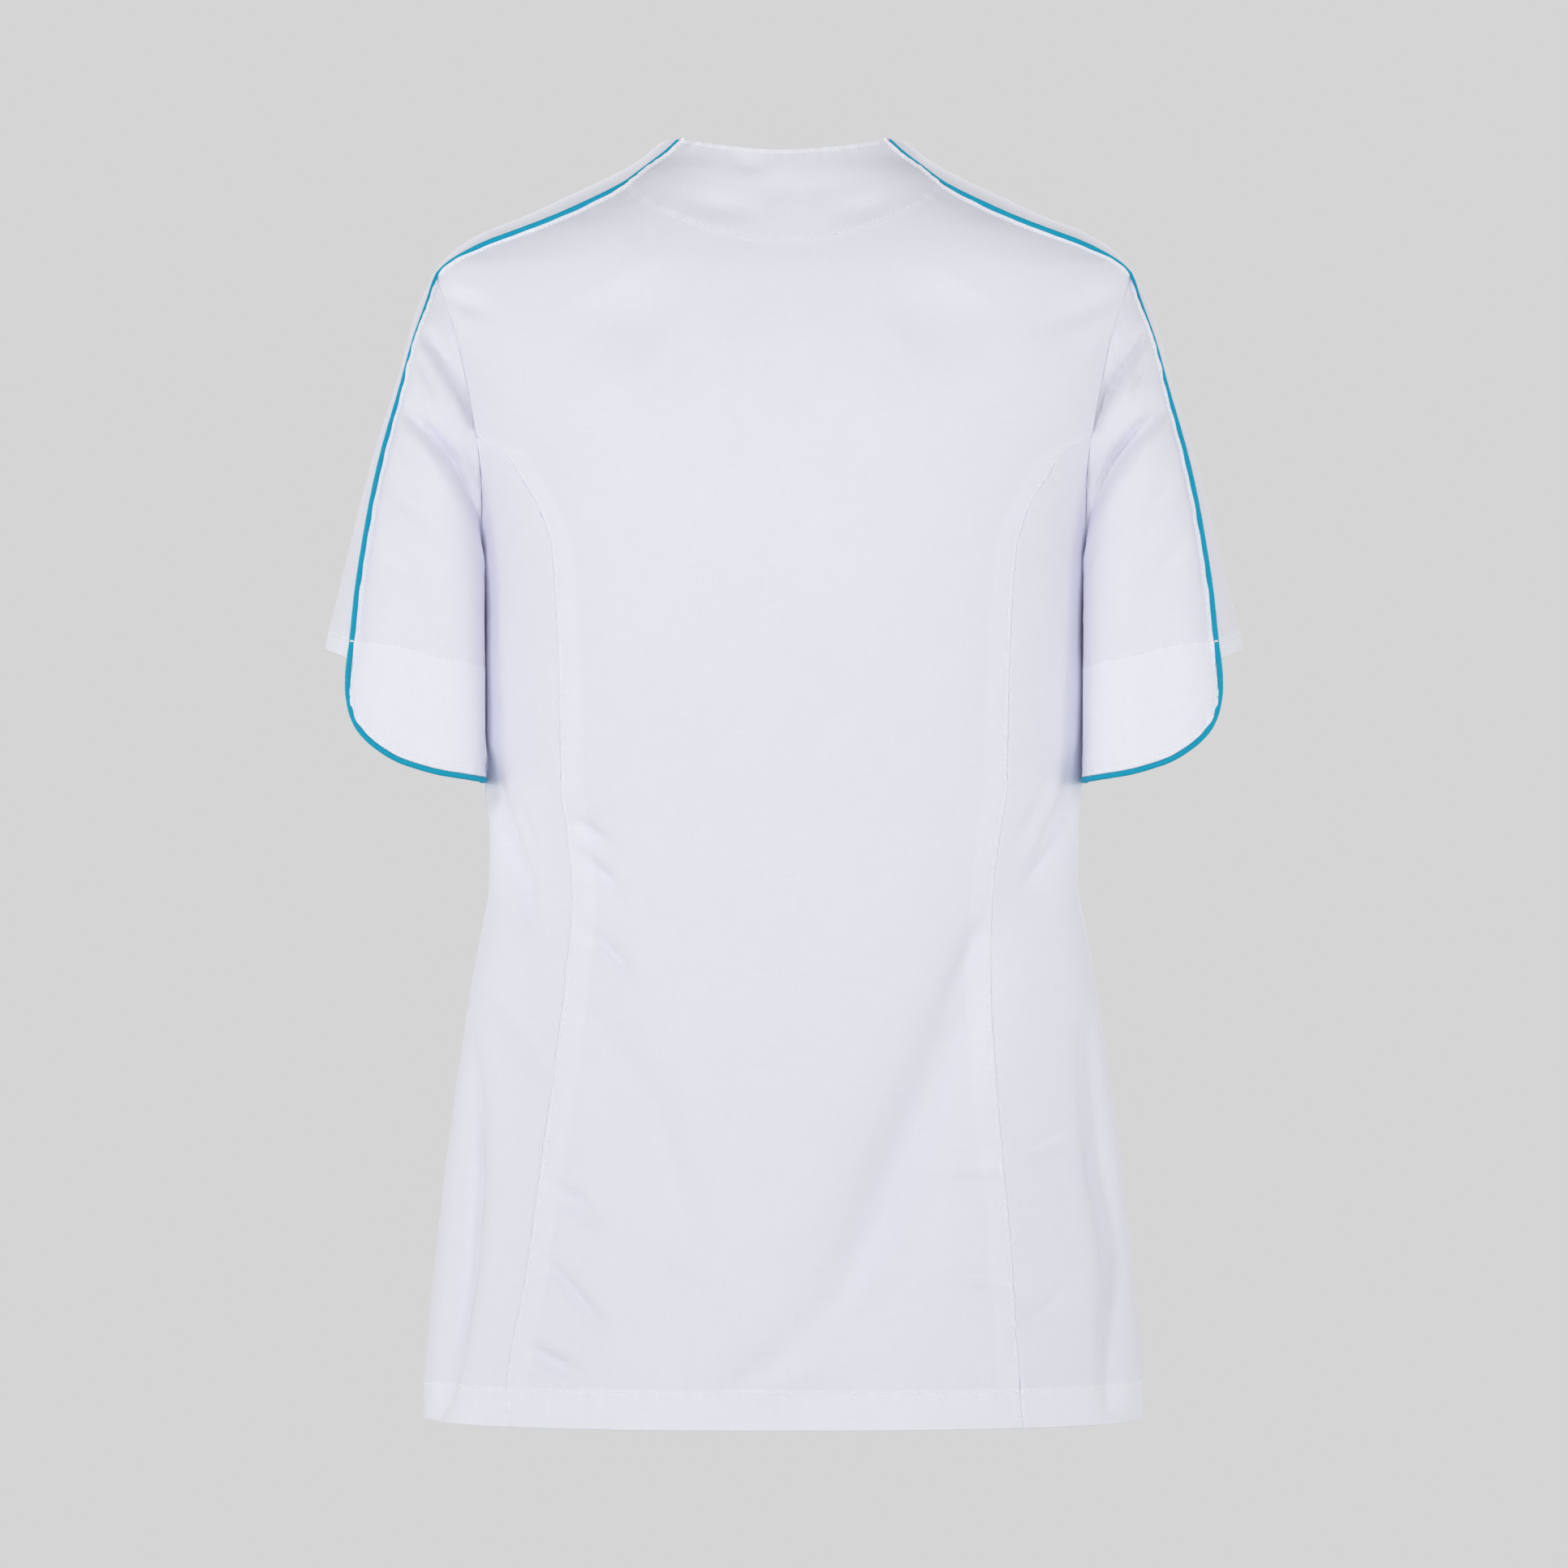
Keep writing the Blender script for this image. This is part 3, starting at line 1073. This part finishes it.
def make_front(material):
    """Both halves as one grid, cut open at the neck and closed below it."""
    (left, plan, sewn_left), (right, _, sewn_right) = make_front_half(-1), make_front_half(1)

    def whole(part):
        return np.concatenate([getattr(left, part)[:, ::-1], getattr(right, part)], axis=1)

    both = Cloth(*(whole(part) for part in ("points", "across", "along", "normal")))
    for part in ("rise", "round", "thickness", "double"):
        setattr(both, part, whole(part))
    rows, columns = both.across.shape
    middle = FRONT_HALF_COLUMNS - 1
    both.cut = np.zeros((rows - 1, columns - 1), dtype=bool)
    both.cut[:, middle] = True
    closed = [row for row in range(rows) if plan[row][0] >= FRONT_ARMHOLE_END - 1e-4]
    for part in ("normal", "rise", "points", "thickness", "round"):
        value = getattr(both, part)
        value[closed, middle] = (value[closed, middle] + value[closed, middle + 1]) / 2
    both.same = {row * columns + middle + 1: row * columns + middle for row in closed}
    return shell("front_centre_cloth", both, material), sewn_left + sewn_right


# ================================================================ the sleeves' cloth
SLEEVE_BACK_COLUMNS = 92
SLEEVE_FRONT_COLUMNS = 106
FACING_SPAN = 58.0       # from a sleeve's facing line to its hem
AT_FACING = [-2.4, -1.5, -0.7, 0.0, 0.7, 1.5, 2.4]
AT_ROUNDED_HEM = [6.0, 4.6, 3.4, 2.6, 1.9, 1.2, 0.7, 0.3]
AT_FRONT_EDGE = [0.3, 0.8, 1.5, 2.6]
AT_FRONT_STITCHES = [-1.4, -0.7, 0.0, 0.7, 1.4]
TACK_TURNS = range(-140, 71, 35)
TACK_SHIFTS = (-0.25, 0.25)


def lean_to_body(cloth, place, from_armhole, side):
    """Turns the normals beside the armhole to the body's, so that both cloths dip alike."""
    places = armhole_place(place(0.0, np.linspace(0, 1, 400))[0], side)
    rim = body_point(places[:, 0], places[:, 1])
    normals = body_normal(places[:, 0], places[:, 1])
    near = np.argmin(np.linalg.norm(cloth.points[0][:, None] - rim[None], axis=-1), axis=1)
    share = (1 - ease(from_armhole, 0.3, 3.0))[..., None]
    cloth.normal = unit(cloth.normal * (1 - share) + normals[near][None] * share)


def lay_sleeve(place, plan, columns, side, ridge_height):
    """Either half of a sleeve, as place lays it, with its seams sewn."""
    def surface(t, share):
        return sleeve_point(*place(*np.broadcast_arrays(t, share)), side)

    cloth, t, from_seam, from_underarm = lay(surface, plan, columns,
                                             np.array([side * SLEEVE_MIDDLE, 0.0, 0.0]))
    from_armhole = from_row(cloth, 0, t < 0.3)
    lean_to_body(cloth, place, from_armhole, side)
    piped = 1.0 if place is front_sleeve_place else 1 - ease(t, 1.0, 1.5)
    cloth.rise = (ridge(from_seam, ridge_height) * piped + groove(from_underarm, 0.3)
                  + groove(from_armhole, 0.2)
                  + pucker(cloth.across, from_armhole, 0.14, 8.0, 13.0))
    return cloth, t, from_seam, piped


def tack(cloth, row):
    """Short stitches over the cord where the halves part."""
    seam, up = cloth.points[row, 0], cloth.normal[row, 0]
    over = unit(seam - cloth.points[row, PIPING_STITCH_COLUMN])
    turns = np.radians(TACK_TURNS)[:, None]
    round_cord = np.sin(turns) * over + np.cos(turns) * up
    ahead = unit(np.cross(over, up))
    return [(seam + shift * ahead + up * PIPING_LIFT + round_cord * PIPING_RADIUS, round_cord)
            for shift in TACK_SHIFTS]


def make_sleeve(name, side, material, thread):
    even = [*np.linspace(0.004, 0.985, 78), *np.linspace(1.03, 1.66, 16)]
    marks = [1.0 + d / FACING_SPAN for d in AT_FACING]
    plan = [(t, 0.0) for t in clear_of(even, marks, 0.012) + marks + [0.0, 2.0]]
    plan += [(2.0, -d) for d in AT_ROUNDED_HEM]
    plan += [(BETWEEN, k / 6) for k in range(1, 6)]
    plan.sort(key=lambda p: p[0] + p[1] * 1e-3)
    cloth, t, from_seam, piped = lay_sleeve(back_sleeve_place, plan, SLEEVE_BACK_COLUMNS, side,
                                            RIDGE_HEIGHT)
    facing_row = row_near(plan, 1.0)
    from_hem = from_row(cloth, -1, t > 1.6)
    from_facing = from_row(cloth, facing_row, np.abs(t - 1) < 0.4)
    below = np.where(t > 1, from_facing, -from_facing)
    cloth.rise += dimple(from_seam, STITCH_FROM_PIPING) + dimple(from_hem, STITCH_FROM_PIPING)
    cloth.rise += 0.35 * (1 - ease(from_hem, 0.3, 1.5))
    cloth.rise += dimple(below, 0.0, 0.2) + 0.15 * ease(below, -0.5, 0.8) * (t > 0.9)
    cloth.rise += pucker(cloth.along, from_seam, 0.14, 7.0, 9.0)
    cloth.rise += pucker(cloth.across, from_hem, 0.16, 7.0, 9.0)
    cloth.rise += pucker(cloth.across, from_facing, 0.12, 7.0, 10.0)
    cloth.double = ease(t, 0.995, 1.01) + bright_edge(from_seam) * piped
    turned_edge(cloth, np.minimum(from_hem, np.where(t > 1.0, from_seam, FAR)))
    made = {"sleeve_back_" + name: shell("sleeve_back_%s_cloth" % name, cloth, material),
            "sleeve_facing_" + name: facing_piece("sleeve_facing_%s_cloth" % name, cloth,
                                                  slice(facing_row, None), 1.0, material)}
    hem_row = row_near(plan, 2.0, -STITCH_FROM_PIPING)
    sewn = [line_on(cloth, (slice(3, -4), PIPING_STITCH_COLUMN)),
            line_on(cloth, (hem_row, slice(PIPING_STITCH_COLUMN, -2))),
            line_on(cloth, (facing_row, slice(2, -2)))] + tack(cloth, facing_row)

    marks = AT_FRONT_EDGE + [FRONT_SLEEVE_HEM_DEPTH + d for d in AT_FRONT_STITCHES]
    marks = [1.0 - d / FRONT_SLEEVE_HEM for d in marks]
    rows = clear_of(np.linspace(0.0, 1.0, 58), marks, 0.006) + marks + [0.004]
    plan = [(t, 0.0) for t in sorted(rows)]
    cloth, t, _, _ = lay_sleeve(front_sleeve_place, plan, SLEEVE_FRONT_COLUMNS, side,
                                FRONT_SLEEVE_RIDGE)
    from_hem = (1 - t) * FRONT_SLEEVE_HEM
    cloth.rise += dimple(from_hem, FRONT_SLEEVE_HEM_DEPTH)
    cloth.rise += pucker(cloth.across, np.abs(from_hem - FRONT_SLEEVE_HEM_DEPTH), 0.16, 8.0, 9.5)
    turn_up(cloth, from_hem, FRONT_SLEEVE_HEM_DEPTH)
    made["sleeve_front_" + name] = shell("sleeve_front_%s_cloth" % name, cloth, material)
    hem_row = row_near(plan, 1 - FRONT_SLEEVE_HEM_DEPTH / FRONT_SLEEVE_HEM)
    sewn.append(line_on(cloth, (hem_row, slice(1, -2))))
    stitches("topstitching_sleeve_" + name, sewn, thread)
    return made


# ================================================================ piping
CORD_STEP = 1.3
CORD_SIDES = 16


def make_piping(name, side, material):
    """One run over the shoulder, down the sleeve and round its hem, cut at the armhole."""
    places = shoulder_run(side)[::4]
    down = np.linspace(0.0, 1.0, 60)
    below = 1 + np.linspace(0.0, 1.0, 18)[1:]
    round_hem = np.linspace(0.0, 1.0, 90)[1:]
    t = np.concatenate([down, below, np.full(len(round_hem), 2.0)])
    share = np.concatenate([np.zeros(len(down) + len(below)), round_hem])
    ring_angle, reach = back_sleeve_place(t, share)

    def spots(step_angle=0.0, step_reach=0.0):
        return sleeve_point(ring_angle + step_angle, np.maximum(reach + step_reach, 0.0), side)

    across, along = spots(0.3) - spots(-0.3), spots(0.0, 1.0) - spots(0.0, -0.5)
    sleeve_up = unit(np.cross(across, along)) * side
    start = armhole_place(ring_angle, side)
    share = ((1 - ease(np.abs(ring_angle), 60.0, 110.0)) * (1 - ease(reach, 0.0, 14.0)))[:, None]
    sleeve_up = unit(sleeve_up * (1 - share) + body_normal(start[:, 0], start[:, 1]) * share)
    edge = np.concatenate([body_point(places[:, 0], places[:, 1]), spots()])
    up = np.concatenate([body_normal(places[:, 0], places[:, 1]), sleeve_up])
    outward = unit(np.cross(np.gradient(edge, axis=0), up)) * -side
    armhole = len(places)
    parting = armhole + len(down)
    turned = parting + len(below) - 1
    for _ in range(20):
        up[1:-1] = unit(up[:-2] + 2 * up[1:-1] + up[2:])
    turn = np.radians(PIPING_TURN) * ease(np.arange(len(edge)), parting - 1, turned)[:, None]
    path = edge + (up * np.cos(turn) + outward * np.sin(turn)) * PIPING_LIFT
    for _ in range(8):
        path[1:-1] = (path[:-2] + 2 * path[1:-1] + path[2:]) / 4
    path[armhole - 1:armhole + 1] = path[armhole - 1:armhole + 1].mean(axis=0)
    cord("piping_shoulder_" + name, path[1:armhole], up[1:armhole], SHOULDER_CORD, material)
    cord("piping_sleeve_" + name, path[armhole:], up[armhole:], SLEEVE_CORD, material)


def cord(name, path, up, radii, material):
    """A round cord covered in bias-cut cloth."""
    run = run_of(path)
    length = run[-1]
    at = np.concatenate([[0.05, 0.2], np.linspace(0.5, length - 0.5, int(length / CORD_STEP)),
                         length - np.array([0.2, 0.05])])
    centre, rise = between(at, run, path), between(at, run, up)
    along = unit(np.gradient(centre, axis=0))
    across = unit(np.cross(along, rise))
    rise = np.cross(across, along)
    radius = smooth(*np.array(radii, dtype=float).T)(at)
    centre = centre - rise * (0.8 * (PIPING_RADIUS - radius))[:, None]
    radius = radius - 0.15 * (1 - ease(np.minimum(at, length - at), 0.0, 0.3))
    turns = 2 * np.pi * np.arange(CORD_SIDES) / CORD_SIDES
    uneven = (1 + 0.02 * np.sin(at[:, None] * 2 * np.pi / 3.1 + turns)
              + 0.02 * np.sin(at[:, None] * 2 * np.pi / 11.0))
    rings = centre[:, None] + (radius[:, None] * uneven)[..., None] * (
        np.cos(turns)[:, None] * across[:, None] + np.sin(turns)[:, None] * rise[:, None])
    index = np.arange(len(at) * CORD_SIDES).reshape(-1, CORD_SIDES)
    after = np.roll(index, -1, axis=1)
    quads = np.stack([after[:-1], index[:-1], index[1:], after[1:]], axis=-1).reshape(-1, 4)
    faces = quads.tolist() + [index[0].tolist(), index[-1, ::-1].tolist()]
    piece = mesh_piece(name + "_cord", rings.reshape(-1, 3), faces, material)
    corner = np.concatenate(faces)
    far, turn = at[corner // CORD_SIDES], turns[corner % CORD_SIDES] * PIPING_RADIUS
    lit = np.clip(np.sin(np.tile(turns, len(at))), 0, 1) * 0.4
    map_cloth(piece, np.stack([far + turn, far - turn], axis=1), lit)
    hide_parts(name)


# ================================================================ floor and light
FLOOR_SIDES = 96
FLOOR_RINGS = table("radius z", (1.5, -1.12), (1.49, -1.105), (1.47, -1.10))


def make_floor():
    """A plain pale disc of floor, well below the hem."""
    mesh = bpy.data.meshes.new("floor")
    turns = [2 * math.pi * i / FLOOR_SIDES for i in range(FLOOR_SIDES)]
    points = [(ring.radius * math.cos(a), ring.radius * math.sin(a), ring.z)
              for ring in FLOOR_RINGS for a in turns]
    inmost = (len(FLOOR_RINGS) - 1) * FLOOR_SIDES
    faces = round_faces(0, inmost, FLOOR_SIDES) + [tuple(range(inmost, inmost + FLOOR_SIDES))]
    mesh.from_pydata(points, [], faces)
    mesh.shade_smooth()
    mesh.materials.append(mottled("pale_floor", 0.8, 0.0, 3.0, FLOOR_DARK, FLOOR_LIGHT))
    floor = bpy.data.objects.new("floor", mesh)
    bpy.context.scene.collection.objects.link(floor)


NEUTRAL, COOL = (1.0, 1.0, 1.0), (0.99, 0.99, 1.0)
WARM, LOW_SUN = (1.0, 0.99, 0.97), (1.0, 0.98, 0.92)
LIGHT_TARGET = (0.0, 0.0, -0.35)
# In metres and watts; turn is in degrees from the camera.
LIGHTS = table(
    "name turn distance height size power colour",
    ("front_middle", 0, 5.8, -0.1, (1.6, 1.2), 30, COOL),
    ("front_left", -27, 4.4, 1.3, (0.6, 0.7), 36, COOL),
    ("front_right", 22, 4.4, 1.0, (0.6, 0.7), 20, COOL),
    ("side_left", -62, 3.5, 0.4, (1.0, 1.4), 11, WARM),
    ("side_right", 62, 3.5, 0.4, (1.0, 1.4), 12, WARM),
    ("over_the_front", 180, 2.0, 1.5, (1.4, 0.7), 46, NEUTRAL),
    ("far_left", -112, 3.6, -0.3, (1.1, 1.7), 18, LOW_SUN),
    ("far_right", 112, 3.6, -0.3, (1.1, 1.7), 16, LOW_SUN),
)
WORLD_LEVEL = 0.665
# The world darkens upwards and downwards, by loss, between two heights of its direction.
WORLD_FALLS = table("start end loss", (0.3, 0.7, 0.56), (-0.36, -0.8, 0.32))


def make_light():
    scene = bpy.context.scene
    scene.world = bpy.data.worlds.new("studio")
    scene.world.use_nodes = True
    tree = scene.world.node_tree
    way = node(tree, "ShaderNodeSeparateXYZ",
               {0: node(tree, "ShaderNodeTexCoord").outputs["Generated"]})
    level = WORLD_LEVEL
    for fall in WORLD_FALLS:
        loss = node(tree, "ShaderNodeMapRange",
                    {"From Min": fall.start, "From Max": fall.end, "To Min": 0.0,
                     "To Max": fall.loss, "Value": way.outputs["Z"]},
                    interpolation_type="SMOOTHSTEP")
        level = maths(tree, "SUBTRACT", level, loss.outputs["Result"])
    feed(tree, tree.nodes["Background"].inputs["Color"], grey(tree, level))
    for light in LIGHTS:
        data = bpy.data.lights.new(light.name, "AREA")
        data.shape = "RECTANGLE"
        data.size, data.size_y = light.size
        data.energy = light.power
        data.color = light.colour
        lamp = bpy.data.objects.new(light.name, data)
        turn = math.radians(light.turn)
        lamp.location = (light.distance * math.sin(turn), -light.distance * math.cos(turn),
                         light.height)
        away = np.array(lamp.location) - np.array(LIGHT_TARGET)
        lamp.rotation_euler = (math.atan2(math.hypot(away[0], away[1]), away[2]), 0.0,
                               math.atan2(away[0], -away[1]))
        scene.collection.objects.link(lamp)
    scene.cycles.max_bounces = scene.cycles.diffuse_bounces = 12
    scene.view_settings.view_transform = "Standard"
    scene.view_settings.look = "None"
    scene.view_settings.exposure = 0.0
    scene.view_settings.gamma = 1.0


# ================================================================ all together
# The cut of each sheet in metres, with its hem turned down flat and no seam allowances: the
# rectangle round it, the area left after cutting, and what it is sewn to and hangs from.
Cut = namedtuple("Cut", "width length area hangs_from")
SIDE_PANELS = [
    ("back_side_", back_edge, BACK_ARMHOLE_END, ARMHOLE_BACK_ANGLES[-1:] + UNDERARM_BACK_ANGLES),
    ("front_side_", front_edge, FRONT_ARMHOLE_END,
     ARMHOLE_FRONT_ANGLES[-1:] + UNDERARM_FRONT_ANGLES),
]


def main():
    cloth = woven("white_cloth", WHITES, roughness=0.88, sheen=0.1, thread_mm=0.5, bump=0.35)
    piping = woven("turquoise_piping", TURQUOISES, roughness=0.7, sheen=0.0, thread_mm=0.45,
                   bump=0.5)
    thread = mottled("white_thread", 0.55, 0.1, 900.0, THREAD_DARK, THREAD_LIGHT)
    made = make_back(cloth, thread)
    sewn = []
    for name, side in (("left", -1), ("right", 1)):
        for part, edge, armhole_end, ring_angles in SIDE_PANELS:
            made[part + name], line = make_side(part + name, cloth,
                                                edge(side)[armhole_end * STEPS:],
                                                side_edge(ring_angles, side))
            sewn.append(line)
        made.update(make_sleeve(name, side, cloth, thread))
        make_piping(name, side, piping)
    made["front_centre"], more = make_front(cloth)
    stitches("topstitching_front_and_sides", sewn + more, thread)
    for name, piece in made.items():
        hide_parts(name)


make_floor()
make_light()
main()
